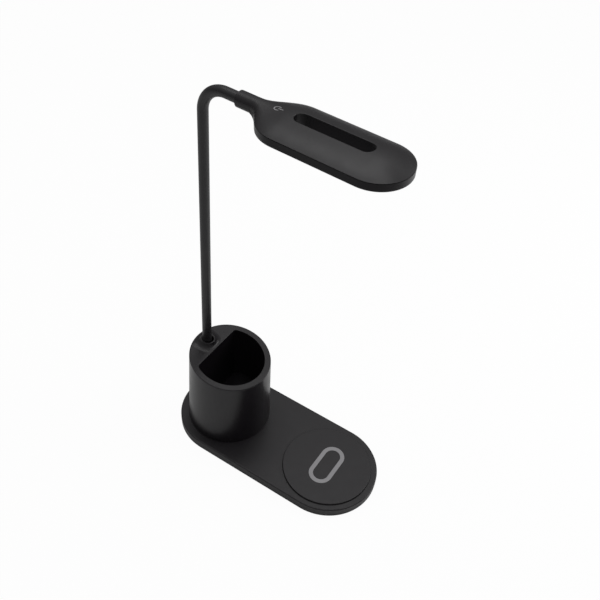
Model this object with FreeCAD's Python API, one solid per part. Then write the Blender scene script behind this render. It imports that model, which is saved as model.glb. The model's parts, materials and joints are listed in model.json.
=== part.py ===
"""Gooseneck desk lamp on a stadium base with a pen cup and a charging disc.

Millimetres, +Z up, origin on the table at the centre of the base. +X points to the charging disc,
-X to the pen cup and the stem. The base, cup and stem are symmetric about the XZ plane.
"""

import FreeCAD, Part
import math
import os

V = FreeCAD.Vector
UP = V(0, 0, 1)

# Base
BASE_LENGTH = 219.2
BASE_WIDTH = 100.0
BASE_BODY = 10.1
FOOT_STAND = 0.5
BASE_TOP = FOOT_STAND + BASE_BODY
SEAM_Z = 4.7
END_R = BASE_WIDTH / 2
END_X = BASE_LENGTH / 2 - END_R
TOP_PLATE = 1.8
COVER_WALL = 2.0
CEILING_Z = BASE_TOP - TOP_PLATE
FLOOR_Z = 2.4
TRAY_WALL = 3.2
SEAM_STEP = 0.2
TOP_ROUND = 1.2
BOTTOM_ROUND = 0.8

FOOT_R = 7.0
FOOT_PLACES = [(-78, -27), (-78, 27), (78, -27), (78, 27), (0, -37), (0, 37)]
SCREW_PLACES = [(-93, -24), (-93, 24), (14, -42), (14, 42), (95, -23), (95, 23)]
SCREW_R = 1.3
SCREW_HEAD_R = 2.7
PILOT_R = 1.35
BOSS_R = 3.2

# Steel weight under the cup
WEIGHT_X = (-84.0, 8.0)
WEIGHT_WIDTH = 80.0
WEIGHT_T = 4.0
WEIGHT_PEGS = [(-38, -30), (-38, 30)]

# Charging disc
PAD_X = END_X
PAD_R = 44.0
PAD_RISE = 1.7
PAD_SEAT = 0.7
PAD_SEAT_R = PAD_R + 0.2
PAD_TOP = BASE_TOP + PAD_RISE
PAD_BOTTOM = BASE_TOP - PAD_SEAT
COIL_HOLE_R = 30.0
MARK_LENGTH = 46.2
MARK_WIDTH = 23.4
MARK_STROKE = 4.1
MARK_DEPTH = 0.35

# Socket in the end of the base
INLET_Z = 5.6
INLET_W = 8.94
INLET_H = 3.26
INLET_L = 7.3
INLET_GAP = 0.35

# Pen cup: a cone with a slanted rim
CUP_X = -END_X
CUP_BASE_R = 41.7
CUP_RIM_R = 39.5
RIM_Z = 94.1
RIM_SLOPE = math.degrees(math.atan(0.1496))
CUP_WALL = 2.2
CUP_FLOOR = 2.0
CUP_TAPER = (CUP_BASE_R - CUP_RIM_R) / (RIM_Z - BASE_TOP)
FLANGE_T = 2.0
RIM_ROUND = 0.8
MOUTH_ROUND = 0.5
BUCKET_R = 33.5
BUCKET_WALL = 1.6
BUCKET_FLOOR_Z = 31.0
CHORD_X = -75.9
BUCKET_CORNER = 4.5
CUP_SCREW_R = 30.0
CUP_SCREW_ANGLES = (60, 180, 300)
DRIVER_Z = 18.0

# Stem and gooseneck
STEM_X = -87.6
NECK_R = 4.46
SLEEVE_T = 1.05
CORE_R = 3.2
CORE_BORE_R = 1.3
LEAD_R = 1.0
BALL_GAP = 0.1
CUP_LIP = 2.0
BEND_Z = 354.9
BEND_R = 23.3
BEND_TURN = 89.2
HEAD_YAW = -3.5
HEAD_PITCH = 90.0 - BEND_TURN
DECK_Z = RIM_Z + math.tan(math.radians(RIM_SLOPE)) * (CUP_X - STEM_X)
NUT_SEAT_Z = 92.0
FERRULE_R = 4.2
FERRULE_FLANGE_R = 4.7
BOOT_HOLE_R = 4.95
BOOT_HOLE_REACH = 2.0
BOOT_TOP_Z = 102.4
BOOT_LIP_R = 6.4
BOOT_LIP_SHIFT = 1.2
BOOT_RISE = 5.4
BOOT_LIP_ROUND = 0.3
BOOT_FOOT_X = 10.9
BOOT_FOOT_Y = 14.0
BOOT_TAPER = 0.012
BOOT_SECTIONS = 7
STEM_HINGES = [DECK_Z + (BEND_Z - DECK_Z) * (k + 0.5) / 4 for k in range(4)]
BEND_LENGTH = math.radians(BEND_TURN) * BEND_R
BEND_HINGES = [BEND_Z + BEND_LENGTH * part for part in (0.25, 0.75)]
YAW_STATION = BEND_Z + BEND_LENGTH + 5.0
HINGES = STEM_HINGES + BEND_HINGES + [YAW_STATION]

# Head, in its own frame: X along the arm from the end of the bend, Z up from the arm's axis
COLLAR_S = 12.0
COLLAR_R = 6.5
NECK_S = 26.0
SHOULDER_S = 60.0
HEAD_TIP_S = 155.2
HEAD_HALF = 26.4
TIP_CENTRE_S = HEAD_TIP_S - HEAD_HALF
SEAM_W = -0.6
BAND_W = -7.4
CROWN_W = 6.5
SADDLE = 1.1
SEAM_GAP = (0.5, 0.35)
SHELL_T = 1.8
FLARE_R = 9.0
SHOULDER_R = 28.0
FLARE_ANGLE = 49.7
SLOT_S = (61.5, 126.1)
SLOT_HALF = 6.2
SLOT_WALL = 1.5
LIGHT_S = 68.0
LIGHT_R = 22.4
LEDGE = 1.2
BAND_ROUND = 0.8
DIFFUSER_TOP_W = -5.0
PLATE_T = 1.4
LED_BOARD_W = -3.0
LED_COUNT = 36
HEAD_SCREW_S = 44.0
HEAD_SCREW_T = 12.0
SLOT_EDGE = 0.4
TOUCH_S = 46.2
TOUCH_BOARD_W = -1.2
FERRULE_END_S = 25.0


def save(shape, name):
    """Writes one sub-part as parts/NAME.step."""
    shape.exportStep(f"parts/{name}.step")


def group(solids):
    """Several separate solids as one sub-part."""
    return Part.makeCompound(solids)


def rod(x, y, z0, z1, r):
    """Vertical cylinder."""
    return Part.makeCylinder(r, z1 - z0, V(x, y, z0), UP)


def block(x0, x1, y0, y1, z0, z1):
    """Box between two corners."""
    return Part.makeBox(x1 - x0, y1 - y0, z1 - z0, V(x0, y0, z0))


def arc(a, b, c):
    """Arc edge through three points."""
    return Part.Arc(a, b, c).toShape()


def line(a, b):
    """Straight edge."""
    return Part.makeLine(a, b)


def stadium(x0, x1, r, z0, z1, y=0.0):
    """Upright prism with straight sides and round ends, whose end centres are at x0 and x1."""
    wire = Part.Wire([
        line(V(x0, y - r, z0), V(x1, y - r, z0)),
        arc(V(x1, y - r, z0), V(x1 + r, y, z0), V(x1, y + r, z0)),
        line(V(x1, y + r, z0), V(x0, y + r, z0)),
        arc(V(x0, y + r, z0), V(x0 - r, y, z0), V(x0, y - r, z0)),
    ])
    return Part.Face(wire).extrude(V(0, 0, z1 - z0))


def level_edges(shape, z, tol=0.01):
    """Edges that lie flat at height z."""
    flat = []
    for edge in shape.Edges:
        box = edge.BoundBox
        if abs(box.ZMin - z) < tol and abs(box.ZMax - z) < tol:
            flat.append(edge)
    return flat


def upright_edges(shape, near):
    """Vertical edges within 0.1 mm of the (x, y) places given."""
    found = []
    for edge in shape.Edges:
        box = edge.BoundBox
        if box.XLength < 0.01 and box.YLength < 0.01:
            if any(math.hypot(box.XMin - x, box.YMin - y) < 0.1 for x, y in near):
                found.append(edge)
    return found


def screw(x, y, z_seat, z_tip, down=False):
    """Pan-head screw: the head is on z_seat and the shank ends at z_tip."""
    head_t = 1.6
    shank = rod(x, y, min(z_seat, z_tip), max(z_seat, z_tip), SCREW_R)
    z0 = z_seat if down else z_seat - head_t
    head = rod(x, y, z0, z0 + head_t, SCREW_HEAD_R)
    recess_z = z0 + head_t - 0.8 if down else z0
    slots = [block(x - 1.5, x + 1.5, y - 0.3, y + 0.3, recess_z, recess_z + 0.8)]
    slots.append(block(x - 0.3, x + 0.3, y - 1.5, y + 1.5, recess_z, recess_z + 0.8))
    return head.fuse(shank).cut(slots)


def polar(radius, degrees, x=0.0, y=0.0):
    """Point at an angle round (x, y)."""
    a = math.radians(degrees)
    return x + radius * math.cos(a), y + radius * math.sin(a)


# ---- Base ----

def inlet_slot(grow, x0, x1):
    """Rounded slot of the socket, lying along X, grown by a margin."""
    r = INLET_H / 2 + grow
    half = INLET_W / 2 - INLET_H / 2
    middle = block(x0, x1, -half, half, INLET_Z - r, INLET_Z + r)
    ends = [
        Part.makeCylinder(r, x1 - x0, V(x0, y, INLET_Z), V(1, 0, 0))
        for y in (-half, half)
    ]
    return middle.fuse(ends).removeSplitter()


def base_top_cover():
    """Cover plate, its wall down to the seam, the disc's seat and the screw posts."""
    body = stadium(-END_X, END_X, END_R, SEAM_Z, BASE_TOP)
    body = body.makeFillet(TOP_ROUND, level_edges(body, BASE_TOP))
    body = body.cut(stadium(-END_X, END_X, END_R - COVER_WALL, SEAM_Z - 1, CEILING_Z))
    posts = [rod(x, y, SEAM_Z - 0.3, CEILING_Z + 0.5, BOSS_R) for x, y in SCREW_PLACES]
    body = body.fuse(posts)
    holes = [rod(x, y, SEAM_Z - 1, CEILING_Z - 0.6, PILOT_R) for x, y in SCREW_PLACES]
    holes.append(rod(PAD_X, 0, PAD_BOTTOM, BASE_TOP + 1, PAD_SEAT_R))
    holes.append(rod(PAD_X, 0, CEILING_Z - 1, BASE_TOP, COIL_HOLE_R))
    for angle in CUP_SCREW_ANGLES:
        x, y = polar(CUP_SCREW_R, angle, CUP_X)
        holes.append(rod(x, y, CEILING_Z - 1, BASE_TOP + 1, SCREW_R + 0.4))
    holes.append(rod(CUP_X, 0, CEILING_Z - 1, BASE_TOP + 1, 5.0))
    holes.append(inlet_slot(INLET_GAP, -BASE_LENGTH / 2 - 1, -BASE_LENGTH / 2 + 6))
    return body.cut(holes)


def base_bottom_cover():
    """Tray with a tongue inside the cover's wall, screw bosses and posts for the boards."""
    r = END_R - SEAM_STEP
    body = stadium(-END_X, END_X, r, FOOT_STAND, SEAM_Z)
    body = body.makeFillet(BOTTOM_ROUND, level_edges(body, FOOT_STAND))
    tongue_r = END_R - COVER_WALL - 0.1
    body = body.fuse(stadium(-END_X, END_X, tongue_r, SEAM_Z - 0.5, SEAM_Z + 1.3))
    body = body.cut(stadium(-END_X, END_X, r - TRAY_WALL, FLOOR_Z, SEAM_Z + 2))
    bosses = [rod(x, y, FOOT_STAND + 0.8, SEAM_Z - 0.4, 4.0) for x, y in SCREW_PLACES]
    pegs = [rod(x, y, FLOOR_Z - 0.5, FLOOR_Z + WEIGHT_T, 2.5) for x, y in WEIGHT_PEGS]
    carrier_posts = []
    for angle in (45, 135, 225, 315):
        x, y = polar(27.5, angle, PAD_X)
        carrier_posts.append(rod(x, y, FLOOR_Z - 0.5, CEILING_Z - 1.2, 1.8))
    board_posts = [
        rod(PAD_X + dx, dy, FLOOR_Z - 0.5, FLOOR_Z + 1.4, 1.6)
        for dx in (-16, 16)
        for dy in (-10, 10)
    ]
    inlet_posts = [
        rod(-99.5, dy, FLOOR_Z - 0.5, INLET_Z - INLET_H / 2 - 1.0, 1.4) for dy in (-6, 6)
    ]
    body = body.fuse(bosses + pegs + carrier_posts + board_posts + inlet_posts)
    holes = []
    for x, y in SCREW_PLACES:
        holes.append(rod(x, y, FOOT_STAND - 1, FOOT_STAND + 2.0, SCREW_HEAD_R + 0.2))
        holes.append(rod(x, y, FOOT_STAND, SEAM_Z, SCREW_R + 0.2))
    holes += [rod(x, y, FLOOR_Z + 0.4, FLOOR_Z + 6, PILOT_R) for x, y in WEIGHT_PEGS]
    holes += [rod(x, y, FOOT_STAND - 1, FOOT_STAND + 0.8, FOOT_R + 0.15) for x, y in FOOT_PLACES]
    holes.append(inlet_slot(INLET_GAP, -BASE_LENGTH / 2 - 1, -BASE_LENGTH / 2 + 6))
    return body.cut(holes)


def base_feet():
    """Rubber discs in their recesses, standing out below the tray."""
    feet = []
    for x, y in FOOT_PLACES:
        foot = rod(x, y, 0, FOOT_STAND + 0.8, FOOT_R)
        feet.append(foot.makeFillet(0.3, level_edges(foot, 0)))
    return group(feet)


def base_screws():
    """Screws up through the tray into the cover's posts."""
    return group([screw(x, y, FOOT_STAND + 2.0, CEILING_Z - 0.9) for x, y in SCREW_PLACES])


def counterweight():
    """Steel plate on the floor of the tray, with rounded corners and two peg holes."""
    half = WEIGHT_WIDTH / 2
    x0, x1 = WEIGHT_X
    plate = block(x0, x1, -half, half, FLOOR_Z, FLOOR_Z + WEIGHT_T)
    corners = [(x, y) for x in (x0, x1) for y in (-half, half)]
    plate = plate.makeFillet(6.0, upright_edges(plate, corners))
    return plate.cut([rod(x, y, 0, 20, 2.7) for x, y in WEIGHT_PEGS])


def counterweight_screws():
    """Screws down into the tray's pegs, whose heads clamp the plate."""
    seat = FLOOR_Z + WEIGHT_T
    screws = []
    for x, y in WEIGHT_PEGS:
        washer = rod(x, y, seat, seat + 0.6, 4.0).cut(rod(x, y, 0, 20, SCREW_R + 0.1))
        screws.append(washer)
        screws.append(screw(x, y, seat + 0.6, FLOOR_Z + 0.7, down=True))
    return group(screws)


def mark_ring(z0, z1, grow=0.0):
    """The phone outline: a stadium ring whose long way lies across the base."""
    def solid(width, length):
        r = width / 2
        shape = stadium(-(length / 2 - r), length / 2 - r, r, z0, z1)
        shape.rotate(V(0, 0, 0), UP, 90)
        shape.translate(V(PAD_X - 0.3, 0, 0))
        return shape

    outer = solid(MARK_WIDTH + 2 * grow, MARK_LENGTH + 2 * grow)
    cut = 2 * MARK_STROKE + 2 * grow
    return outer.cut(solid(MARK_WIDTH - cut, MARK_LENGTH - cut))


def charger_pad():
    """Raised disc with a rounded edge, a spigot in the cover's hole and a pocket for the coil."""
    disc = rod(PAD_X, 0, PAD_BOTTOM, PAD_TOP, PAD_R)
    disc = disc.makeFillet(0.6, level_edges(disc, PAD_TOP))
    spigot = rod(PAD_X, 0, PAD_BOTTOM - 0.9, PAD_BOTTOM, COIL_HOLE_R - 0.15)
    disc = disc.fuse(spigot)
    disc = disc.cut(rod(PAD_X, 0, PAD_BOTTOM - 1, PAD_BOTTOM + 0.9, 27.0))
    return disc.cut(mark_ring(PAD_TOP - MARK_DEPTH, PAD_TOP + 1, 0.02))


def pad_phone_mark():
    """Inlaid outline, flush with the disc."""
    return mark_ring(PAD_TOP - MARK_DEPTH, PAD_TOP)


def charging_coil():
    """Flat winding in the disc's pocket."""
    z = PAD_BOTTOM - 0.5
    return rod(PAD_X, 0, z, z + 1.2, 22.0).cut(rod(PAD_X, 0, 0, 20, 10.0))


def coil_ferrite():
    """Ferrite disc behind the winding."""
    z = PAD_BOTTOM - 0.5
    return rod(PAD_X, 0, z - 0.8, z, 25.0)


def coil_carrier():
    """Plastic disc that holds ferrite and coil against the pad."""
    z = PAD_BOTTOM - 1.3
    plate = rod(PAD_X, 0, CEILING_Z - 1.2, z, 29.5)
    return plate.cut([rod(PAD_X + dx, 0, 0, 20, 1.5) for dx in (-27.0, 27.0)])


def charger_board():
    """Circuit board under the coil carrier."""
    z = FLOOR_Z + 1.4
    return block(PAD_X - 20, PAD_X + 20, -14, 14, z, z + 1.0)


def charger_components():
    """Choke, capacitors and chips on the charger's board."""
    z = FLOOR_Z + 2.4
    parts = [block(PAD_X - 14, PAD_X - 7, -3.5, 3.5, z, z + 2.2)]
    parts.append(block(PAD_X - 2, PAD_X + 4, -3, 3, z, z + 0.9))
    parts += [rod(PAD_X + 10, y, z, z + 2.0, 2.2) for y in (-5.5, 0.5, 6.5)]
    parts += [block(PAD_X - 4, PAD_X - 2.4, y, y + 0.8, z, z + 0.6) for y in (-8, -6, 6, 8)]
    return group(parts)


def power_inlet():
    """USB-C socket: a thin shell and its tongue."""
    x0 = -BASE_LENGTH / 2 + 0.4
    shell = inlet_slot(0.0, x0, x0 + INLET_L)
    shell = shell.cut(inlet_slot(-0.3, x0 - 1, x0 + INLET_L - 1.0))
    tongue = block(x0 + 1.2, x0 + INLET_L - 0.5, -3.35, 3.35, INLET_Z - 0.35, INLET_Z + 0.35)
    return shell.fuse(tongue)


def inlet_board():
    """Small board that the socket is soldered to."""
    z1 = INLET_Z - INLET_H / 2
    x0 = -BASE_LENGTH / 2 + 5.0
    return block(x0, x0 + 14.0, -9, 9, z1 - 1.0, z1)


# ---- Pen cup ----

def cup_cone(z0, z1, inset=0.0):
    """The cup's outer cone between two heights, or one inside it."""
    r0 = CUP_BASE_R - (z0 - BASE_TOP) * CUP_TAPER - inset
    r1 = CUP_BASE_R - (z1 - BASE_TOP) * CUP_TAPER - inset
    return Part.makeCone(r0, r1, z1 - z0, V(CUP_X, 0, z0), UP)


def above_rim(drop):
    """Everything above the slanted rim plane lowered by drop."""
    z = RIM_Z - drop
    space = block(CUP_X - 100, CUP_X + 100, -100, 100, z, z + 80)
    space.rotate(V(CUP_X, 0, z), V(0, 1, 0), RIM_SLOPE)
    return space


def cup_shell():
    """Tapered tube with a slanted top."""
    tube = cup_cone(BASE_TOP, 110).cut(cup_cone(BASE_TOP, 110, CUP_WALL))
    return tube.cut(above_rim(FLANGE_T + 0.05))


def cup_floor():
    """Plate in the foot of the tube, with screw bosses and posts for the driver board."""
    plate = cup_cone(BASE_TOP, BASE_TOP + CUP_FLOOR, CUP_WALL)
    bosses = []
    pilots = [rod(CUP_X, 0, 0, 20, 4.0)]
    for angle in CUP_SCREW_ANGLES:
        x, y = polar(CUP_SCREW_R, angle, CUP_X)
        bosses.append(rod(x, y, BASE_TOP + 1, DRIVER_Z - 1.0, 3.6))
        pilots.append(rod(x, y, BASE_TOP - 1, DRIVER_Z - 2.0, PILOT_R))
    posts = [rod(CUP_X + dx, dy, BASE_TOP + 1, DRIVER_Z, 2.0) for dx in (-10, 14) for dy in (-14, 14)]
    return plate.fuse(bosses + posts).cut(pilots)


def bucket_solid(r, chord, z0, z1, corner):
    """D-shaped prism: a circle cut off by a chord across X, with rounded corners."""
    disc = rod(CUP_X, 0, z0, z1, r)
    body = disc.cut(block(CUP_X - 60, chord, -60, 60, z0 - 1, z1 + 1))
    y = math.sqrt(r * r - (chord - CUP_X) ** 2)
    return body.makeFillet(corner, upright_edges(body, [(chord, -y), (chord, y)]))


def boot_section(share):
    """Outline of the boot above the deck, share of the way from its long foot to its round lip."""
    points = []
    for k in range(36):
        a = math.radians(10 * k)
        c, s = math.cos(a), math.sin(a)
        r = (abs(c / BOOT_FOOT_X) ** 4 + abs(s / BOOT_FOOT_Y) ** 4) ** -0.25
        foot = V(r * c, r * s * (1 - BOOT_TAPER * r * c), 0)
        lip = V(BOOT_LIP_R * c + BOOT_LIP_SHIFT, BOOT_LIP_R * s, 0)
        points.append(foot + (lip - foot) * share + UP * (BOOT_RISE * (0.2 * share + 0.8 * share ** 3)))
    curve = Part.BSplineCurve()
    curve.interpolate(points, PeriodicFlag=True)
    return Part.Wire([curve.toShape()])


def boot():
    """Raised boot round the stem: hollow flanks climb from a foot along the deck to a level lip."""
    shares = [-0.15 + 1.15 * k / (BOOT_SECTIONS - 1) for k in range(BOOT_SECTIONS)]
    solid = Part.makeLoft([boot_section(share) for share in shares], True, False)
    solid.rotate(V(0, 0, 0), V(0, 1, 0), RIM_SLOPE)
    solid.translate(V(STEM_X, 0, DECK_Z))
    return solid.cut(block(STEM_X - 30, STEM_X + 30, -30, 30, BOOT_TOP_Z, BOOT_TOP_Z + 20))


def boot_hole():
    """Hole in the boot's lip, a little longer than it is wide."""
    ends = [rod(STEM_X + reach, 0, DECK_Z - 0.9, 120, BOOT_HOLE_R) for reach in (0, BOOT_HOLE_REACH)]
    middle = block(STEM_X, STEM_X + BOOT_HOLE_REACH, -BOOT_HOLE_R, BOOT_HOLE_R, DECK_Z - 0.9, 120)
    return ends[0].fuse([middle, ends[1]]).removeSplitter()


def pen_bucket():
    """D-shaped bucket that hangs under the deck."""
    shape = bucket_solid(BUCKET_R + BUCKET_WALL, CHORD_X - BUCKET_WALL,
                         BUCKET_FLOOR_Z - BUCKET_WALL, 110, BUCKET_CORNER + BUCKET_WALL)
    shape = shape.cut(above_rim(FLANGE_T))
    return shape.cut(bucket_solid(BUCKET_R, CHORD_X, BUCKET_FLOOR_Z, 120, BUCKET_CORNER))


def cup_deck():
    """Slanted rim with the bucket's mouth, the deck behind it, the stem's boot and the nut's seat."""
    cone = cup_cone(BASE_TOP, 110).cut(above_rim(0.0))
    rim = [e for e in cone.Edges if e.BoundBox.ZMax > RIM_Z + 3 and e.BoundBox.YLength > 60]
    cone = cone.makeFillet(RIM_ROUND, rim)
    flange = cone.common(above_rim(FLANGE_T))
    spigot_r = CUP_WALL + 0.15
    spigot = cup_cone(BASE_TOP, 110, spigot_r).cut(above_rim(FLANGE_T)).common(above_rim(FLANGE_T + 3))
    spigot = spigot.cut(cup_cone(BASE_TOP, 110, spigot_r + 1.4))
    seat = rod(STEM_X, 0, NUT_SEAT_Z, DECK_Z + 2, 8.8).cut(above_rim(0.5))
    raised = boot().common(cup_cone(BASE_TOP, 110, RIM_ROUND))
    body = flange.fuse([spigot, seat, raised])
    body = body.cut(bucket_solid(BUCKET_R, CHORD_X, BUCKET_FLOOR_Z, 120, BUCKET_CORNER))
    body = body.cut(boot_hole())
    body = body.cut(rod(STEM_X, 0, 80, 120, FERRULE_R + 0.1)).removeSplitter()
    mouth = []
    for edge in body.Edges:
        point = edge.valueAt((edge.FirstParameter + edge.LastParameter) / 2)
        rim_z = RIM_Z - math.tan(math.radians(RIM_SLOPE)) * (point.x - CUP_X)
        reach = math.hypot(point.x - CUP_X, point.y)
        if point.z > rim_z - 0.5 and point.x > CHORD_X - 0.1 and reach < BUCKET_R + 0.1:
            mouth.append(edge)
    body = body.makeFillet(MOUTH_ROUND, mouth)
    return body.makeFillet(BOOT_LIP_ROUND, level_edges(body, BOOT_TOP_Z))


def cup_screws():
    """Screws up through the base cover into the cup's bosses."""
    places = [polar(CUP_SCREW_R, angle, CUP_X) for angle in CUP_SCREW_ANGLES]
    return group([screw(x, y, CEILING_Z, DRIVER_Z - 3.0) for x, y in places])


def driver_board():
    """Lamp driver board on the cup's posts, with a corner cut for the lead."""
    board = rod(CUP_X, 0, DRIVER_Z, DRIVER_Z + 1.2, 26.0)
    return board.cut(block(CUP_X - 40, CUP_X - 18, -40, 40, 0, 40))


def driver_components():
    """Capacitors, choke and chips of the lamp driver."""
    z = DRIVER_Z + 1.2
    parts = [rod(CUP_X + 12, y, z, z + 7.0, 3.2) for y in (-9, 0)]
    parts.append(block(CUP_X - 2, CUP_X + 6, 6, 14, z, z + 4.0))
    parts.append(block(CUP_X - 6, CUP_X, -5, 1, z, z + 1.6))
    parts += [block(CUP_X - 8 + 3 * k, CUP_X - 6.6 + 3 * k, -12, -11.2, z, z + 0.7) for k in range(5)]
    parts.append(block(CUP_X - 15, CUP_X - 9, -2.5, 2.5, z, z + 7.8))
    return group(parts)


# ---- Gooseneck ----

def station(u):
    """Point and direction of the neck's centreline, u millimetres along it from the table."""
    if u <= BEND_Z:
        return V(STEM_X, 0, u), V(0, 0, 1)
    a = min((u - BEND_Z) / BEND_R, math.radians(BEND_TURN))
    point = V(STEM_X + BEND_R * (1 - math.cos(a)), 0, BEND_Z + BEND_R * math.sin(a))
    ahead = V(math.sin(a), 0, math.cos(a))
    return point + ahead * max(0.0, u - BEND_Z - BEND_LENGTH), ahead


def run(u0, u1, r):
    """Round bar along the centreline between two stations."""
    marks = [u0] + [m for m in (BEND_Z, BEND_Z + BEND_LENGTH) if u0 < m < u1] + [u1]
    bars = []
    for a, b in zip(marks, marks[1:]):
        point, ahead = station(a)
        if a >= BEND_Z - 1e-6 and b <= BEND_Z + BEND_LENGTH + 1e-6:
            disc = Part.Face(Part.Wire(Part.makeCircle(r, point, ahead)))
            turn = math.degrees((b - a) / BEND_R)
            bars.append(disc.revolve(V(STEM_X + BEND_R, 0, BEND_Z), V(0, 1, 0), turn))
        else:
            bars.append(Part.makeCylinder(r, b - a, point, ahead))
    bar = bars[0]
    for other in bars[1:]:
        bar = bar.fuse(other)
    return bar


def turned(shape):
    """Turns what the bend carries to the side by the head's yaw."""
    shape.rotate(V(STEM_X, 0, 0), UP, HEAD_YAW)
    return shape


NECK_ENDS = [DECK_Z - 8.0] + HINGES + [BEND_Z + BEND_LENGTH + FERRULE_END_S]
SLEEVE_ENDS = [DECK_Z + 0.9] + HINGES + [BEND_Z + BEND_LENGTH + COLLAR_S + 1.0]
LEAD_ENDS = [DECK_Z - 8.0] + HINGES + [BEND_Z + BEND_LENGTH + TOUCH_S - 8.1]


def neck_core(k):
    """Length k of the conduit: a ball at its lower end, and a socket for the next ball at its upper."""
    u0, u1 = NECK_ENDS[k], NECK_ENDS[k + 1]
    last = k == len(HINGES)
    top = u1 if last else u1 - CUP_LIP
    body = run(u0, top, CORE_R)
    if k:
        body = body.fuse(Part.makeSphere(CORE_R, station(u0)[0]))
    if not last:
        body = body.cut(Part.makeSphere(CORE_R + BALL_GAP, station(u1)[0]))
    return turned(body.cut(run(u0 - (CORE_R + 1 if k else 1), u1 + 1, CORE_BORE_R)))


def neck_sleeve(k):
    """Rubber sleeve over length k."""
    u0, u1 = SLEEVE_ENDS[k], SLEEVE_ENDS[k + 1]
    return turned(run(u0, u1, NECK_R).cut(run(u0 - 1, u1 + 1, NECK_R - SLEEVE_T)))


def lamp_lead(k):
    """Lead inside length k. The first one comes over from the driver board and up the cup."""
    u0, u1 = LEAD_ENDS[k], LEAD_ENDS[k + 1]
    if k:
        return turned(run(u0, u1, LEAD_R))
    z = DRIVER_Z + 7.5
    bend = 12.0
    start = V(CUP_X - 15.0, 0, z)
    corner = V(STEM_X, 0, z)
    disc = Part.Face(Part.Wire(Part.makeCircle(LEAD_R, start, V(-1, 0, 0))))
    flat = disc.extrude(corner - start + V(bend, 0, 0))
    disc.translate(corner - start + V(bend, 0, 0))
    curve = disc.revolve(V(STEM_X + bend, 0, z + bend), V(0, 1, 0), 90)
    rise = Part.makeCylinder(LEAD_R, u1 - z - bend, V(STEM_X, 0, z + bend), UP)
    return flat.fuse([curve, rise])


def stem_ferrule():
    """Threaded bush through the deck, with its flange in the boot."""
    body = rod(STEM_X, 0, NUT_SEAT_Z - 6.5, DECK_Z - 0.9, FERRULE_R)
    body = body.fuse(rod(STEM_X, 0, DECK_Z - 0.9, DECK_Z + 0.7, FERRULE_FLANGE_R))
    return body.cut(rod(STEM_X, 0, 0, 200, CORE_R + 0.05))


def stem_nut():
    """Hexagon nut under the deck."""
    corner_r = 8.0
    points = [V(*polar(corner_r, 60 * k + 30, STEM_X), NUT_SEAT_Z - 4.0) for k in range(6)]
    wire = Part.makePolygon(points + points[:1])
    return Part.Face(wire).extrude(V(0, 0, 4.0)).cut(rod(STEM_X, 0, 0, 200, FERRULE_R + 0.05))


# ---- Head ----

def to_head(shape):
    """Moves a piece from the head's own frame to its place on the arm."""
    shape.rotate(V(0, 0, 0), V(0, 1, 0), -HEAD_PITCH)
    shape.translate(station(BEND_Z + BEND_LENGTH)[0])
    return turned(shape)


def half_width(s):
    """Half the neck's width at s: concave flare, straight flank, convex shoulder."""
    a = math.radians(FLARE_ANGLE)
    flare_end = NECK_S + FLARE_R * math.sin(a)
    shoulder_start = SHOULDER_S - SHOULDER_R * math.sin(a)
    if s <= flare_end:
        return COLLAR_R + FLARE_R - math.sqrt(FLARE_R ** 2 - (s - NECK_S) ** 2)
    if s >= shoulder_start:
        return HEAD_HALF - SHOULDER_R + math.sqrt(SHOULDER_R ** 2 - (SHOULDER_S - s) ** 2)
    low = COLLAR_R + FLARE_R * (1 - math.cos(a))
    return low + (s - flare_end) * math.tan(a)


def flank(side, inset, w):
    """Outline of one side of the neck: concave arc, straight line and convex arc, all tangent."""
    def at(radius, degrees, s, t):
        a = math.radians(degrees)
        return V(s + radius * math.sin(a), side * (t + radius * math.cos(a)), w)

    flare = [at(FLARE_R + inset, 180 - a, NECK_S, COLLAR_R + FLARE_R)
             for a in (0, FLARE_ANGLE / 2, FLARE_ANGLE)]
    shoulder = [at(SHOULDER_R - inset, -a, SHOULDER_S, HEAD_HALF - SHOULDER_R)
                for a in (FLARE_ANGLE, FLARE_ANGLE / 2, 0)]
    return [arc(*flare), line(flare[2], shoulder[0]), arc(*shoulder)]


def plan(inset, w0, w1):
    """Upright prism of the head's outline from the collar to the tip, or one inside it."""
    b = HEAD_HALF - inset
    right, left = flank(-1, inset, w0), flank(1, inset, w0)
    nose = [
        line(V(SHOULDER_S, -b, w0), V(TIP_CENTRE_S, -b, w0)),
        arc(V(TIP_CENTRE_S, -b, w0), V(TIP_CENTRE_S + b, 0, w0), V(TIP_CENTRE_S, b, w0)),
        line(V(TIP_CENTRE_S, b, w0), V(SHOULDER_S, b, w0)),
    ]
    mouth = line(V(NECK_S, COLLAR_R - inset, w0), V(NECK_S, inset - COLLAR_R, w0))
    wire = Part.Wire(Part.__sortEdges__(right + nose + left + [mouth]))
    return Part.Face(wire).extrude(V(0, 0, w1 - w0))


def crown_row(s, inset, count=13):
    """Points on the crown's arc over the seam plane at s; the crown dips a little along the neck."""
    b = half_width(s) - inset
    top = CROWN_W - inset - SADDLE * math.sin(math.pi * (s - NECK_S) / (SHOULDER_S - NECK_S)) ** 2
    rise = top - SEAM_W
    if s <= NECK_S:
        b = math.sqrt((COLLAR_R - inset) ** 2 - SEAM_W ** 2)
    r = (b * b + rise * rise) / (2 * rise)
    centre = top - r
    half = math.atan2(b, SEAM_W - centre)
    angles = [half * (2 * k / (count - 1) - 1) for k in range(count)]
    return [V(s, r * math.sin(a), centre + r * math.cos(a)) for a in angles]


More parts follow.
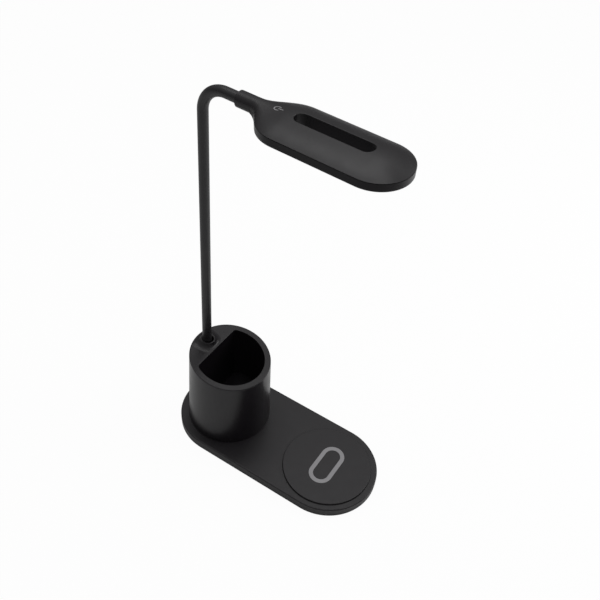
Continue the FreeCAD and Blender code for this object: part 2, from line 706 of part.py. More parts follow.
def crown(inset=0.0):
    """Upper half of the head from the neck to the tip, as one solid on the seam plane."""
    rows = [crown_row(NECK_S + (SHOULDER_S - NECK_S) * k / 17, inset) for k in range(18)]
    surface = Part.BSplineSurface()
    surface.interpolate(rows)
    skin = surface.toShape()
    faces = [skin]
    sides = [e for e in skin.Edges if e.BoundBox.ZLength < 0.01]
    for row in (rows[0], rows[-1]):
        end = [e for e in skin.Edges if abs(e.BoundBox.Center.x - row[0].x) < 0.01]
        chord = line(row[0], row[-1])
        faces.append(Part.Face(Part.Wire(end + [chord])))
        sides.append(chord)
    faces.append(Part.Face(Part.Wire(Part.__sortEdges__(sides))))
    shell = Part.makeShell(faces)
    shell.sewShape()
    neck = Part.makeSolid(shell)
    if neck.Volume < 0:
        neck.reverse()
    b = HEAD_HALF - inset
    rise = CROWN_W - inset - SEAM_W
    section = [V(SHOULDER_S, -b, SEAM_W), V(SHOULDER_S, 0, SEAM_W + rise), V(SHOULDER_S, b, SEAM_W)]
    wire = Part.Wire([arc(*section), line(section[2], section[0])])
    body = Part.Face(wire).extrude(V(TIP_CENTRE_S - SHOULDER_S, 0, 0))
    ball_r = (b * b + rise * rise) / (2 * rise)
    cap = Part.makeSphere(ball_r, V(TIP_CENTRE_S, 0, CROWN_W - inset - ball_r))
    cap = cap.common(block(TIP_CENTRE_S, TIP_CENTRE_S + 60, -60, 60, SEAM_W, 60))
    return neck.fuse([body, cap], 0.002)


def keel():
    """Lower half of the head: straight side band, whose lower edge rounds off toward the collar."""
    band = plan(0, BAND_W, SEAM_W)
    nose = band.common(block(SHOULDER_S, 200, -60, 60, -20, 20))
    neck = band.common(block(0, SHOULDER_S, -60, 60, -20, 20))
    depth = SEAM_W - BAND_W
    for side in (-1, 1):
        low = [e for e in level_edges(neck, BAND_W)
               if e.BoundBox.Center.y * side > 1 and e.BoundBox.XLength > 0.1]
        low.sort(key=lambda e: e.BoundBox.XMin)
        radii = (depth - 0.3, BAND_ROUND) if side < 0 else (BAND_ROUND, depth - 0.3)
        neck = neck.makeFillet(*radii, low[:1])
    rim = [e for e in level_edges(nose, BAND_W) if e.BoundBox.XMax > SHOULDER_S + 0.1]
    nose = nose.makeFillet(BAND_ROUND, rim)
    return neck.fuse(nose)


def collar(low, high):
    """The part of the collar's tube between two heights, chamfered at its mouth."""
    tube = Part.makeCylinder(COLLAR_R, NECK_S - COLLAR_S, V(COLLAR_S, 0, 0), V(1, 0, 0))
    mouth = [e for e in tube.Edges if e.BoundBox.XMax < COLLAR_S + 0.01]
    tube = tube.makeChamfer(0.6, mouth)
    return tube.common(block(0, 200, -60, 60, low, high))


def collar_bores():
    """Sleeve's mouth, the ferrule's bearing, its flange's pocket and the lead's way on."""
    steps = [(0.0, COLLAR_S + 1.6, NECK_R + 0.15), (COLLAR_S, NECK_S + 2, 4.06), (22.9, 25.6, 5.4)]
    steps.append((NECK_S - 1, 37.0, 3.0))
    return [Part.makeCylinder(r, b - a, V(a, 0, 0), V(1, 0, 0)) for a, b, r in steps]


def slot_prism(grow, w0, w1):
    """The through slot, grown by a margin."""
    return stadium(SLOT_S[0] + SLOT_HALF, SLOT_S[1] - SLOT_HALF, SLOT_HALF + grow, w0, w1)


def head_top_shell():
    """Crowned shell with the slot's wall, half the collar and the board's posts."""
    solid = crown().cut(slot_prism(0, -10, 20))
    mouth = [e for e in solid.Edges if e.BoundBox.ZMin > SEAM_W + 1 and e.BoundBox.YMax < SLOT_HALF + 0.01
             and e.BoundBox.YMin > -SLOT_HALF - 0.01 and e.BoundBox.XMin > SLOT_S[0] - 0.01]
    solid = solid.makeFillet(SLOT_EDGE, mouth)
    solid = solid.fuse([collar(SEAM_W, 20)], 0.002).removeSplitter()
    inside = crown(SHELL_T).common(block(36, 200, -60, 60, -20, 20))
    shell = solid.cut(inside.cut(slot_prism(SLOT_WALL, -10, 20)))
    wall = slot_prism(SLOT_WALL, BAND_W + 0.3, 2.0).cut(slot_prism(0, -20, 20))
    posts = [rod(s, t, LED_BOARD_W + 1.0, 3.4, 2.2) for s in (76, 112) for t in (-15, 15)]
    posts += [rod(HEAD_SCREW_S, t, SEAM_W, 2.0, 2.2) for t in (-HEAD_SCREW_T, HEAD_SCREW_T)]
    posts += [rod(TOUCH_S + ds, 0, TOUCH_BOARD_W + 1.0, 5.2, 1.2) for ds in (-6, 6)]
    shell = shell.fuse([wall] + posts)
    pilots = [rod(s, t, -5, 2.2, 0.95) for s in (76, 112) for t in (-15, 15)]
    pilots += [rod(HEAD_SCREW_S, t, -5, 1.5, 0.95) for t in (-HEAD_SCREW_T, HEAD_SCREW_T)]
    shell = shell.cut(pilots + collar_bores() + [mark_touch(0.3, 0.02)])
    return to_head(shell)


def light_area(grow, w0, w1):
    """Racetrack of the light, grown by a margin."""
    return stadium(LIGHT_S, TIP_CENTRE_S, LIGHT_R + grow, w0, w1)


def head_bezel():
    """Lower shell: the side band under a narrow seam groove, half the collar and the diffuser's ledge."""
    seam = plan(0, SEAM_W - SEAM_GAP[0], SEAM_W).cut(plan(SEAM_GAP[1], -20, 20))
    seam = seam.common(block(NECK_S + 4, 200, -60, 60, -20, 20))
    solid = keel().cut(seam).fuse(collar(-20, SEAM_W))
    cavity = plan(SHELL_T, BAND_W + PLATE_T, 0).common(block(36, 200, -60, 60, -20, 20))
    opening = light_area(0, -20, 0)
    sides = (-HEAD_SCREW_T, HEAD_SCREW_T)
    bosses = [rod(HEAD_SCREW_S, t, BAND_W + 0.5, SEAM_W - 0.2, 3.0) for t in sides]
    holes = [rod(HEAD_SCREW_S, t, BAND_W - 1, BAND_W + 1.2, 2.0) for t in sides]
    holes += [rod(HEAD_SCREW_S, t, BAND_W, 0, 1.15) for t in sides]
    solid = solid.cut(cavity).fuse(bosses).cut([opening] + holes + collar_bores())
    return to_head(solid)


def head_diffuser():
    """Milky cover with a ledge all round and a hole for the slot's wall."""
    ledge = light_area(LEDGE, BAND_W + PLATE_T, DIFFUSER_TOP_W)
    face = light_area(-0.1, BAND_W + 0.2, DIFFUSER_TOP_W)
    return to_head(ledge.fuse(face).cut(slot_prism(SLOT_WALL + 0.1, -20, 20)))


def led_board():
    """Aluminium board that carries the LEDs, round the slot's wall."""
    board = light_area(0.6, LED_BOARD_W, LED_BOARD_W + 1.0).cut(slot_prism(SLOT_WALL + 0.5, -20, 20))
    holes = [rod(s, t, -20, 20, 1.1) for s in (76, 112) for t in (-15, 15)]
    return to_head(board.cut(holes))


def track_point(share, r):
    """Point and heading on the racetrack of radius r, share of the way round."""
    straight = TIP_CENTRE_S - LIGHT_S
    bend = math.pi * r
    d = share * 2 * (straight + bend)
    if d < straight:
        return LIGHT_S + d, -r, 0.0
    if d < straight + bend:
        a = (d - straight) / r
        return TIP_CENTRE_S + r * math.sin(a), -r * math.cos(a), math.degrees(a)
    if d < 2 * straight + bend:
        return TIP_CENTRE_S - (d - straight - bend), r, 180.0
    a = (d - 2 * straight - bend) / r
    return LIGHT_S - r * math.sin(a), r * math.cos(a), 180.0 + math.degrees(a)


def led_chips():
    """LEDs in one ring on the underside of their board."""
    chips = []
    for k in range(LED_COUNT):
        s, t, heading = track_point((k + 0.5) / LED_COUNT, 18.6)
        chip = block(-1.75, 1.75, -1.4, 1.4, LED_BOARD_W - 0.7, LED_BOARD_W)
        chip.rotate(V(0, 0, 0), UP, heading)
        chip.translate(V(s, t, 0))
        chips.append(chip)
    return to_head(group(chips))


def small_screw(s, t, w_seat, w_tip, head_r):
    """Small screw whose head is below its seat."""
    head = rod(s, t, w_seat - 0.9, w_seat, head_r)
    head = head.cut(block(s - 1.0, s + 1.0, t - 0.2, t + 0.2, w_seat - 0.9, w_seat - 0.5))
    return head.fuse(rod(s, t, w_seat, w_tip, 0.9))


def led_board_screws():
    """Four screws up into the top shell's posts."""
    places = [(s, t) for s in (76, 112) for t in (-15, 15)]
    return to_head(group([small_screw(s, t, LED_BOARD_W, 1.8, 1.7) for s, t in places]))


def head_screws():
    """Two screws under the neck that hold the shells together."""
    sides = (-HEAD_SCREW_T, HEAD_SCREW_T)
    return to_head(group([small_screw(HEAD_SCREW_S, t, BAND_W + 1.2, 1.2, 1.8) for t in sides]))


def mark_touch(depth, grow=0.0):
    """Ring-and-bar mark let into the crown: an open ring, and a bar in the ring's gap."""
    ring_r, stroke = 2.4, 0.8 + 2 * grow
    top = CROWN_W + 1
    ring = rod(TOUCH_S, 0, 0, top, ring_r + stroke / 2).cut(rod(TOUCH_S, 0, 0, top, ring_r - stroke / 2))
    gap = block(TOUCH_S, TOUCH_S + 5, -1.7 + grow, 1.7 - grow, -1, top + 1)
    bar = block(TOUCH_S + 0.6 - grow, TOUCH_S + 5.0 + grow, -stroke / 2, stroke / 2, 0, top)
    figure = ring.cut(gap).fuse(bar)
    return figure.cut(crown(depth))


def touch_mark():
    """Light inlay flush with the crown."""
    figure = mark_touch(0.3).common(crown())
    return to_head(figure)


def touch_plug():
    """Conductive foam plug between the touch dimmer's board and the crown, under the mark."""
    foam = rod(TOUCH_S, 0, TOUCH_BOARD_W + 1.0, CROWN_W, 3.5)
    return to_head(foam.common(crown(SHELL_T)))


def touch_board():
    """Touch dimmer's board under the plug."""
    w = TOUCH_BOARD_W
    return to_head(block(TOUCH_S - 8, TOUCH_S + 8, -6.5, 6.5, w, w + 1.0))


def neck_end_ferrule():
    """Bush on the gooseneck's end: the collar turns on it, and its flange keeps the head on."""
    axis = V(1, 0, 0)
    body = Part.makeCylinder(4.0, 23.4 - 13.6, V(13.6, 0, 0), axis)
    body = body.fuse(Part.makeCylinder(5.2, 1.8, V(23.4, 0, 0), axis))
    return to_head(body.cut(Part.makeCylinder(CORE_R + 0.02, 60, V(0, 0, 0), axis)))


def main():
    os.makedirs("parts", exist_ok=True)
    makers = [
        base_top_cover, base_bottom_cover, base_feet, base_screws, counterweight, counterweight_screws,
        charger_pad, pad_phone_mark, charging_coil, coil_ferrite, coil_carrier, charger_board,
        charger_components, power_inlet, inlet_board,
        cup_shell, cup_floor, pen_bucket, cup_deck, cup_screws, driver_board, driver_components,
        stem_ferrule, stem_nut, neck_end_ferrule,
        head_top_shell, head_bezel, head_diffuser, led_board, led_chips, led_board_screws,
        head_screws, touch_mark, touch_plug, touch_board,
    ]
    for maker in makers:
        save(maker(), maker.__name__)
    for k in range(len(HINGES) + 1):
        save(neck_core(k), f"neck_core_{k}")
        save(neck_sleeve(k), f"neck_sleeve_{k}")
        save(lamp_lead(k), f"lamp_lead_{k}")


main()
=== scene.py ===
"""Looks of the gooseneck desk lamp: its rubber sleeve, finishes, floor, light and camera."""

import json
import math

import bpy
from mathutils import Matrix, Quaternion, Vector


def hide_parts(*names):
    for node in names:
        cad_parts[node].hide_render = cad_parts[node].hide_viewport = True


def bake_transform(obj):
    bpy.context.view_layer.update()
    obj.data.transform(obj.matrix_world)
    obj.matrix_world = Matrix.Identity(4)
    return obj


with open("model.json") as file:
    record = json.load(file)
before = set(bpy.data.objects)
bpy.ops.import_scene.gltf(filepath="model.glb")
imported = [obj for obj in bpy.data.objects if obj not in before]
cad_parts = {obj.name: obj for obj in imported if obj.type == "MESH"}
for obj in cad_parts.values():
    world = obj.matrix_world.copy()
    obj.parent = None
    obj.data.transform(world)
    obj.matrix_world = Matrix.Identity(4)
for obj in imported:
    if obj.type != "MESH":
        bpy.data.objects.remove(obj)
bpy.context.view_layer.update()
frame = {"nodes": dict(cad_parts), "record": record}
nodes = frame["nodes"]

MM = 0.001
# Places closer than this on the neck's line are the same
HAIR = 0.0001 * MM

# The gooseneck's line, as the solids have it: up from the deck, round the bend, out into the head
STEM_X = -87.6 * MM
NECK_FOOT_Z = 98.289 * MM
BEND_Z = 354.9 * MM
BEND_R = 23.3 * MM
BEND_TURN = math.radians(89.2)
BEND_END = BEND_Z + BEND_R * BEND_TURN
HEAD_YAW = math.radians(-3.5)
HEAD_PITCH = math.pi / 2 - BEND_TURN

# The rubber sleeve on it
NECK_R = 4.46 * MM
SLEEVE_T = 1.05 * MM
SLEEVE_FOOT_Z = 99.2 * MM
SLEEVE_END = BEND_END + 13.0 * MM
SLEEVE_SIDES = 48
SLEEVE_SMOOTH = math.radians(40)
CUFF_R = 4.85 * MM
CUFF_TOP_Z = 102.6 * MM
BEND_STEP = 1.2 * MM
STRAIGHT_STEP = 1.6 * MM

# Where the neck's lengths turn on each other, and how far from each hinge the sleeve starts to bend
STEM_HINGES = 4
BEND_HINGE_SHARES = (0.25, 0.75)
HEAD_HINGE = 5.0 * MM
STEM_REACH = 14.0 * MM
BEND_REACHES = (7.0 * MM, 5.5 * MM)
HEAD_REACH = 4.0 * MM

# The slot through the head, in the head's own frame
SLOT_NEAR = 61.5 * MM
SLOT_FAR = 126.1 * MM
SLOT_HALF = 6.2 * MM
SLOT_SKIN = 0.1 * MM

# The middle part of a noise's values, which a finish spreads over its range
NOISE_LOW = 0.3
NOISE_HIGH = 0.7

# Scales of the patterns in the finishes, in waves per metre, and the depths of their relief
TONE_WAVES = 40.0
GLOSS_WAVES = 90.0
TONE_CHANGE = 0.06
GRAIN_DEPTH = 0.02 * MM
METAL_TONE_WAVES = 300.0
METAL_GLOSS_WAVES = 500.0
METAL_TONE_CHANGE = 0.15
METAL_GLOSS_CHANGE = 0.06
METAL_GRAIN_DEPTH = 0.01 * MM

# The floor and the dome: the tone that lights the lamp, and the share of plain white that each ray sees
FLOOR_SIZE = 8.0
FLOOR_TONE = 0.8
FLOOR_SHARES = {"Is Camera Ray": 0.96, "Is Glossy Ray": 0.06, "Is Transmission Ray": 0.96}
DOME_SHARES = {"Is Camera Ray": 1.0, "Is Glossy Ray": 0.05, "Is Transmission Ray": 1.0}
DOME_HORIZON = 0.05
DOME_TOP = 0.7
BACKDROP = 1.0

# Soft panels: place, what they face, width, depth and power. Those overhead face a hair off plumb, which
# keeps their long side along X.
CEILING = 1.42
SOFTBOXES = {
    "overhead": ((-0.2, 0.1, CEILING), (-0.2, 0.101, 0), 1.2, 0.4, 3.6),
    "overhead_middle": ((-0.2, 0.5, CEILING), (-0.2, 0.501, 0), 0.4, 0.4, 0.9),
    "overhead_rear": ((0, 0.9, CEILING), (0, 0.901, 0), 1.6, 0.4, 1.4),
    "right": ((0.6, 0.6, 0.5), (0.1, 0.1, 0), 0.5, 0.5, 2.8),
}

CAMERA_PLACE = Vector((0.239572, -0.412981, 0.672789))
CAMERA_TARGET = Vector((0.0, 0.020395, 0.189754))
CAMERA_ROLL = math.radians(5.5498)
CAMERA_LENS = 47.446
CAMERA_SENSOR = 36.0

STEM = Vector((STEM_X, 0, 0))
YAW = Matrix.Translation(STEM) @ Matrix.Rotation(HEAD_YAW, 4, "Z") @ Matrix.Translation(-STEM)
BEND_CENTRE = YAW @ Vector((STEM_X + BEND_R, 0, BEND_Z))
BEND_AXIS = YAW.to_3x3() @ Vector((0, 1, 0))


def bend_point(angle):
    """Point of the bend's line at an angle from its start, before the head's yaw."""
    return Vector((STEM_X + BEND_R * (1 - math.cos(angle)), 0, BEND_Z + BEND_R * math.sin(angle)))


def station(distance):
    """Point and direction of the neck's line at a distance, which is the height as far as the bend."""
    if distance <= BEND_Z:
        return Vector((STEM_X, 0, distance)), Vector((0, 0, 1))
    angle = min((distance - BEND_Z) / BEND_R, BEND_TURN)
    ahead = Vector((math.sin(angle), 0, math.cos(angle)))
    past = max(0.0, distance - BEND_END)
    return YAW @ (bend_point(angle) + ahead * past), YAW.to_3x3() @ ahead


HEAD = YAW @ Matrix.Translation(bend_point(BEND_TURN)) @ Matrix.Rotation(-HEAD_PITCH, 4, "Y")


# ---- Finishes ----

def new_material(name):
    """Node material with its shader, and the point on the object as coordinates."""
    mat = bpy.data.materials.new(name)
    mat.use_nodes = True
    tree = mat.node_tree
    shader = tree.nodes["Principled BSDF"]
    where = tree.nodes.new("ShaderNodeTexCoord")
    return mat, tree, shader, where.outputs["Object"]


def noise(tree, where, scale, detail=3.0, rough=0.55):
    """Noise over the surface."""
    node = tree.nodes.new("ShaderNodeTexNoise")
    node.inputs["Scale"].default_value = scale
    node.inputs["Detail"].default_value = detail
    node.inputs["Roughness"].default_value = rough
    tree.links.new(where, node.inputs["Vector"])
    return node.outputs["Fac"]


def spread(tree, value, low, high, from_low=NOISE_LOW, from_high=NOISE_HIGH):
    """Maps a value, by default a noise's middle part, to a range."""
    node = tree.nodes.new("ShaderNodeMapRange")
    node.inputs["From Min"].default_value = from_low
    node.inputs["From Max"].default_value = from_high
    node.inputs["To Min"].default_value = low
    node.inputs["To Max"].default_value = high
    tree.links.new(value, node.inputs["Value"])
    return node.outputs["Result"]


def tint(tree, value, dark, light):
    """Colour between two tones by a noise."""
    node = tree.nodes.new("ShaderNodeValToRGB")
    first, last = node.color_ramp.elements
    first.position = NOISE_LOW
    first.color = (*dark, 1)
    last.position = NOISE_HIGH
    last.color = (*light, 1)
    tree.links.new(value, node.inputs["Fac"])
    return node.outputs["Color"]


def bump(tree, shader, height, strength, depth):
    """Fine relief."""
    node = tree.nodes.new("ShaderNodeBump")
    node.inputs["Strength"].default_value = strength
    node.inputs["Distance"].default_value = depth
    tree.links.new(height, node.inputs["Height"])
    tree.links.new(node.outputs["Normal"], shader.inputs["Normal"])


def moulded(name, colour, rough, grain=2600.0, relief=0.12, gloss=0.5, vary=0.05):
    """Moulded plastic: a fine spark-eroded grain, and slight changes of tone and gloss."""
    mat, tree, shader, where = new_material(name)
    dark = [part * (1 - TONE_CHANGE) for part in colour]
    light = [min(1, part * (1 + TONE_CHANGE)) for part in colour]
    tone = tint(tree, noise(tree, where, TONE_WAVES), dark, light)
    tree.links.new(tone, shader.inputs["Base Color"])
    roughness = spread(tree, noise(tree, where, GLOSS_WAVES), rough - vary / 2, rough + vary / 2)
    tree.links.new(roughness, shader.inputs["Roughness"])
    shader.inputs["Specular IOR Level"].default_value = gloss
    bump(tree, shader, noise(tree, where, grain, detail=2.0, rough=0.5), relief, GRAIN_DEPTH)
    return mat


def metal(name, colour, rough, grain=900.0, relief=0.1):
    """Drawn or turned metal."""
    mat, tree, shader, where = new_material(name)
    shader.inputs["Metallic"].default_value = 1.0
    dark = [part * (1 - METAL_TONE_CHANGE) for part in colour]
    tone = tint(tree, noise(tree, where, METAL_TONE_WAVES), dark, colour)
    tree.links.new(tone, shader.inputs["Base Color"])
    roughness = spread(tree, noise(tree, where, METAL_GLOSS_WAVES),
                       rough - METAL_GLOSS_CHANGE, rough + METAL_GLOSS_CHANGE)
    tree.links.new(roughness, shader.inputs["Roughness"])
    bump(tree, shader, noise(tree, where, grain, detail=4.0, rough=0.6), relief, METAL_GRAIN_DEPTH)
    return mat


def math_node(tree, operation, *values):
    """One sum on numbers or on other nodes' results."""
    node = tree.nodes.new("ShaderNodeMath")
    node.operation = operation
    for socket, value in zip(node.inputs, values):
        if isinstance(value, (int, float)):
            socket.default_value = value
        else:
            tree.links.new(value, socket)
    return node.outputs[0]


def slot_wall(tree, where):
    """1 on the wall of the head's slot, fading out round its end at the neck, and 0 elsewhere."""
    local = tree.nodes.new("ShaderNodeMapping")
    local.vector_type = "TEXTURE"
    local.inputs["Location"].default_value = HEAD.translation
    local.inputs["Rotation"].default_value = HEAD.to_euler()
    tree.links.new(where, local.inputs["Vector"])
    split = tree.nodes.new("ShaderNodeSeparateXYZ")
    tree.links.new(local.outputs[0], split.inputs[0])
    along, across = split.outputs["X"], split.outputs["Y"]
    middle = math_node(tree, "MAXIMUM", along, SLOT_NEAR + SLOT_HALF)
    middle = math_node(tree, "MINIMUM", middle, SLOT_FAR - SLOT_HALF)
    past = math_node(tree, "SUBTRACT", along, middle)
    squares = [math_node(tree, "MULTIPLY", side, side) for side in (past, across)]
    reach = math_node(tree, "SQRT", math_node(tree, "ADD", *squares))
    wall = math_node(tree, "LESS_THAN", reach, SLOT_HALF + SLOT_SKIN)
    fade = spread(tree, along, 0.0, 1.0, SLOT_NEAR, SLOT_NEAR + SLOT_HALF)
    return math_node(tree, "MULTIPLY", wall, fade)


def head_plastic(name, colour, rough, gloss, wall_rough):
    """The head's satin plastic, left matt from the mould on the slot's wall."""
    mat = moulded(name, colour, rough, gloss=gloss)
    tree = mat.node_tree
    shader = tree.nodes["Principled BSDF"]
    where = next(node for node in tree.nodes if node.type == "TEX_COORD").outputs["Object"]
    satin = shader.inputs["Roughness"].links[0].from_socket
    mix = tree.nodes.new("ShaderNodeMix")
    tree.links.new(slot_wall(tree, where), mix.inputs["Factor"])
    tree.links.new(satin, mix.inputs["A"])
    mix.inputs["B"].default_value = wall_rough
    tree.links.new(mix.outputs["Result"], shader.inputs["Roughness"])
    return mat


BLACK = (0.0066, 0.0054, 0.0070)
RUBBER = (0.0088, 0.0080, 0.0092)

FINISHES = {
    "base_black": moulded("base_black_plastic", BLACK, 0.42, gloss=0.4),
    "cup_black": moulded("cup_black_plastic", BLACK, 0.3, gloss=0.36, vary=0.04),
    "head_black": head_plastic("head_black_plastic", BLACK, 0.4, gloss=0.42, wall_rough=0.95),
    "sleeve_rubber": moulded("sleeve_black_rubber", RUBBER, 0.4, grain=3200.0, relief=0.2, gloss=0.48),
    "foot_rubber": moulded("foot_grey_rubber", (0.03, 0.03, 0.03), 0.75, grain=1800.0, relief=0.3,
                           gloss=0.3),
    "mark_grey": moulded("printed_grey", (0.245, 0.24, 0.25), 0.45, grain=3000.0, relief=0.05,
                         gloss=0.4),
    "milky_cover": moulded("milky_cover", (0.82, 0.82, 0.8), 0.5, grain=2200.0, relief=0.1, gloss=0.4),
    "screw_steel": metal("zinc_plated_steel", (0.55, 0.55, 0.57), 0.35),
    "weight_steel": metal("rolled_steel", (0.3, 0.3, 0.31), 0.5),
    "conduit_steel": metal("conduit_steel", (0.4, 0.4, 0.41), 0.4),
    "ferrule_steel": metal("blackened_steel", (0.02, 0.02, 0.021), 0.4),
    "inlet_metal": metal("stamped_steel", (0.6, 0.6, 0.62), 0.3),
    "copper": metal("enamelled_copper", (0.65, 0.3, 0.14), 0.35),
    "ferrite": moulded("ferrite", (0.07, 0.07, 0.075), 0.7, grain=900.0, relief=0.4),
    "inner_plastic": moulded("natural_plastic", (0.65, 0.65, 0.62), 0.5),
    "board_green": moulded("circuit_board", (0.03, 0.17, 0.07), 0.35, grain=700.0, relief=0.2),
    "component_black": moulded("component_resin", (0.03, 0.03, 0.03), 0.5),
    "led_board_aluminium": moulded("white_lacquer", (0.8, 0.8, 0.79), 0.4),
    "led_yellow": moulded("phosphor", (0.8, 0.6, 0.14), 0.3),
    "lead_grey": moulded("lead_grey", (0.2, 0.2, 0.2), 0.5),
}
OWN_FINISHES = {
    "head_bezel": moulded("bezel_satin_black", BLACK, 0.3, gloss=0.2, vary=0.04),
    "cup_deck": moulded("deck_satin_black", BLACK, 0.36, gloss=0.35),
}


def finish_solids():
    """Gives each solid the finish of its material slot, or its own."""
    slot_of = {row["node"]: row["material_slot"] for row in frame["record"]["subparts"]}
    for name, node in nodes.items():
        node.data.materials.clear()
        node.data.materials.append(OWN_FINISHES.get(name) or FINISHES[slot_of[name]])


# ---- Rubber sleeve over the gooseneck ----

def pick_none():
    """Leaves nothing selected."""
    bpy.ops.object.select_all(action="DESELECT")


def draw_on(start, stop):
    """Carries the picked ring along the neck's line: spun in the bend, and extruded elsewhere."""
    length = stop - start
    if BEND_Z - HAIR <= start < BEND_END - HAIR:
        bpy.ops.mesh.spin(steps=max(2, round(length / BEND_STEP)), angle=-length / BEND_R,
                          center=BEND_CENTRE, axis=BEND_AXIS)
        return
    steps = max(2, round(length / STRAIGHT_STEP))
    move = station(start)[1] * (length / steps)
    for _ in range(steps):
        bpy.ops.mesh.extrude_region_move(TRANSFORM_OT_translate={"value": move})


def widen_foot(piece):
    """Thickened cuff where the sleeve enters the boot's hole."""
    bpy.ops.mesh.select_all(action="DESELECT")
    bpy.ops.object.mode_set(mode="OBJECT")
    for vert in piece.data.vertices:
        vert.select = vert.co.z < CUFF_TOP_Z
    bpy.ops.object.mode_set(mode="EDIT")
    bpy.ops.transform.resize(value=(CUFF_R / NECK_R, CUFF_R / NECK_R, 1), center_override=STEM)


def sleeve_tube(name, low, high):
    """A stretch of the sleeve: a ring drawn along the neck's line, then given its wall."""
    pick_none()
    place, ahead = station(low)
    bpy.ops.mesh.primitive_circle_add(vertices=SLEEVE_SIDES, radius=NECK_R, fill_type="NOTHING",
                                      location=place, rotation=ahead.to_track_quat("Z", "Y").to_euler())
    piece = bpy.context.object
    piece.name = name
    bpy.ops.object.transform_apply(location=True, rotation=True, scale=True)
    bpy.ops.object.mode_set(mode="EDIT")
    bpy.ops.mesh.select_all(action="SELECT")
    marks = [low] + [mark for mark in (BEND_Z, BEND_END) if low + HAIR < mark < high - HAIR] + [high]
    for start, stop in zip(marks, marks[1:]):
        draw_on(start, stop)
    if low < CUFF_TOP_Z:
        widen_foot(piece)
    bpy.ops.mesh.select_all(action="SELECT")
    bpy.ops.mesh.normals_make_consistent(inside=False)
    bpy.ops.object.mode_set(mode="OBJECT")
    wall = piece.modifiers.new("wall", "SOLIDIFY")
    wall.thickness = SLEEVE_T
    wall.offset = -1
    bpy.ops.object.modifier_apply(modifier="wall")
    bpy.ops.object.shade_smooth_by_angle(angle=SLEEVE_SMOOTH)
    piece.data.materials.append(FINISHES["sleeve_rubber"])
    return piece


def make_sleeve():
    """The sleeve in stretches that meet midway between the hinges."""
    stem_step = (BEND_Z - NECK_FOOT_Z) / STEM_HINGES
    hinges = [NECK_FOOT_Z + stem_step * (count + 0.5) for count in range(STEM_HINGES)]
    hinges += [BEND_Z + BEND_R * BEND_TURN * share for share in BEND_HINGE_SHARES]
    hinges.append(BEND_END + HEAD_HINGE)
    reaches = [STEM_REACH] * STEM_HINGES + [*BEND_REACHES, HEAD_REACH]
    cuts = [SLEEVE_FOOT_Z] + [(near + far) / 2 for near, far in zip(hinges, hinges[1:])] + [SLEEVE_END]
    for count, (hinge, reach) in enumerate(zip(hinges, reaches)):
        piece = sleeve_tube(f"rubber_sleeve_{count + 1}", cuts[count], cuts[count + 1])
        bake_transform(piece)
        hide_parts(f"neck_sleeve_{count}")
    # The last stretch also covers the length that ends in the head's collar
    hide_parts(f"neck_sleeve_{len(hinges)}")


# ---- Floor, light and camera ----

def white_share(tree, shares):
    """How much plain white a ray sees: nearly all for the eye and through glass, less in a reflection."""
    path = tree.nodes.new("ShaderNodeLightPath")
    total = 0.0
    for ray, share in shares.items():
        total = math_node(tree, "MULTIPLY_ADD", path.outputs[ray], share, total)
    return total


def set_up_floor():
    """Pale floor that shows white, keeps the lamp's shadow, and is clear from underneath."""
    pick_none()
    bpy.ops.mesh.primitive_plane_add(size=FLOOR_SIZE, location=(0, 0, 0))
    floor = bpy.context.object
    floor.name = "floor"
    mat, tree, shader, _ = new_material("pale_floor")
    shader.inputs["Base Color"].default_value = (FLOOR_TONE, FLOOR_TONE, FLOOR_TONE, 1)
    shader.inputs["Roughness"].default_value = 0.9
    shader.inputs["Specular IOR Level"].default_value = 0.1
    white = tree.nodes.new("ShaderNodeEmission")
    pale = tree.nodes.new("ShaderNodeMixShader")
    tree.links.new(white_share(tree, FLOOR_SHARES), pale.inputs["Fac"])
    tree.links.new(shader.outputs[0], pale.inputs[1])
    tree.links.new(white.outputs[0], pale.inputs[2])
    underside = tree.nodes.new("ShaderNodeNewGeometry")
    clear = tree.nodes.new("ShaderNodeBsdfTransparent")
    mix = tree.nodes.new("ShaderNodeMixShader")
    tree.links.new(underside.outputs["Backfacing"], mix.inputs["Fac"])
    tree.links.new(pale.outputs[0], mix.inputs[1])
    tree.links.new(clear.outputs[0], mix.inputs[2])
    tree.links.new(mix.outputs[0], tree.nodes["Material Output"].inputs["Surface"])
    floor.data.materials.append(mat)


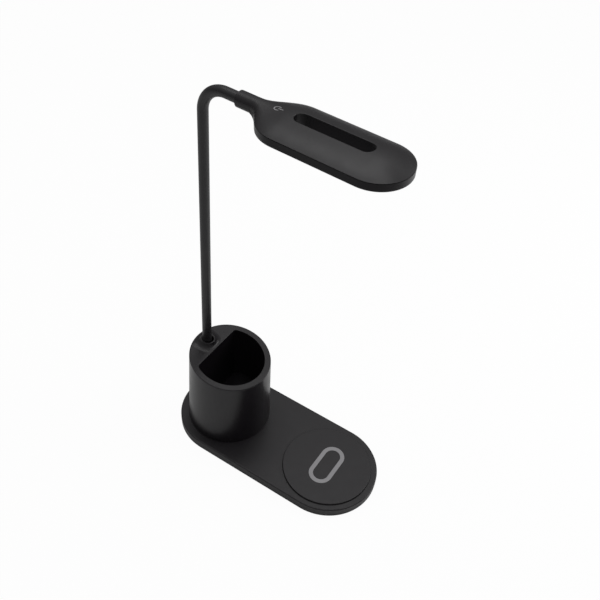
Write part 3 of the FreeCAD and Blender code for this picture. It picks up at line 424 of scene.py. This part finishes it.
def set_up_world():
    """Soft dome of light, brightest overhead, in front of a pale backdrop."""
    world = bpy.data.worlds.new("studio")
    bpy.context.scene.world = world
    world.use_nodes = True
    tree = world.node_tree
    dome = tree.nodes["Background"]
    dome.inputs["Color"].default_value = (1, 1, 1, 1)
    where = tree.nodes.new("ShaderNodeTexCoord")
    split = tree.nodes.new("ShaderNodeSeparateXYZ")
    tree.links.new(where.outputs["Generated"], split.inputs[0])
    level = spread(tree, split.outputs["Z"], DOME_HORIZON, DOME_TOP, 0.0, 1.0)
    tree.links.new(level, dome.inputs["Strength"])
    backdrop = tree.nodes.new("ShaderNodeBackground")
    backdrop.inputs["Color"].default_value = (1, 1, 1, 1)
    backdrop.inputs["Strength"].default_value = BACKDROP
    mix = tree.nodes.new("ShaderNodeMixShader")
    tree.links.new(white_share(tree, DOME_SHARES), mix.inputs["Fac"])
    tree.links.new(dome.outputs[0], mix.inputs[1])
    tree.links.new(backdrop.outputs[0], mix.inputs[2])
    tree.links.new(mix.outputs[0], tree.nodes["World Output"].inputs["Surface"])


def softbox(name, place, target, width, depth, power):
    """Rectangular soft light aimed at a point."""
    data = bpy.data.lights.new(name, "AREA")
    data.shape = "RECTANGLE"
    data.size = width
    data.size_y = depth
    data.energy = power
    box = bpy.data.objects.new(name, data)
    bpy.context.scene.collection.objects.link(box)
    box.location = place
    aim = Vector(target) - Vector(place)
    box.rotation_euler = aim.to_track_quat("-Z", "Y").to_euler()


def set_up_camera():
    """Camera looking down on the lamp from its front right, rolled a little."""
    data = bpy.data.cameras.new("camera")
    data.sensor_width = CAMERA_SENSOR
    data.lens = CAMERA_LENS
    data.clip_start = 0.01
    data.clip_end = 50.0
    camera = bpy.data.objects.new("camera", data)
    bpy.context.scene.collection.objects.link(camera)
    aim = (CAMERA_TARGET - CAMERA_PLACE).to_track_quat("-Z", "Y")
    turn = aim @ Quaternion((0, 0, 1), CAMERA_ROLL)
    camera.matrix_world = Matrix.Translation(CAMERA_PLACE) @ turn.to_matrix().to_4x4()
    bpy.context.scene.camera = camera


finish_solids()
make_sleeve()
set_up_floor()
set_up_world()
for name, panel in SOFTBOXES.items():
    softbox(name, *panel)
set_up_camera()
bpy.context.scene.view_settings.view_transform = "Standard"
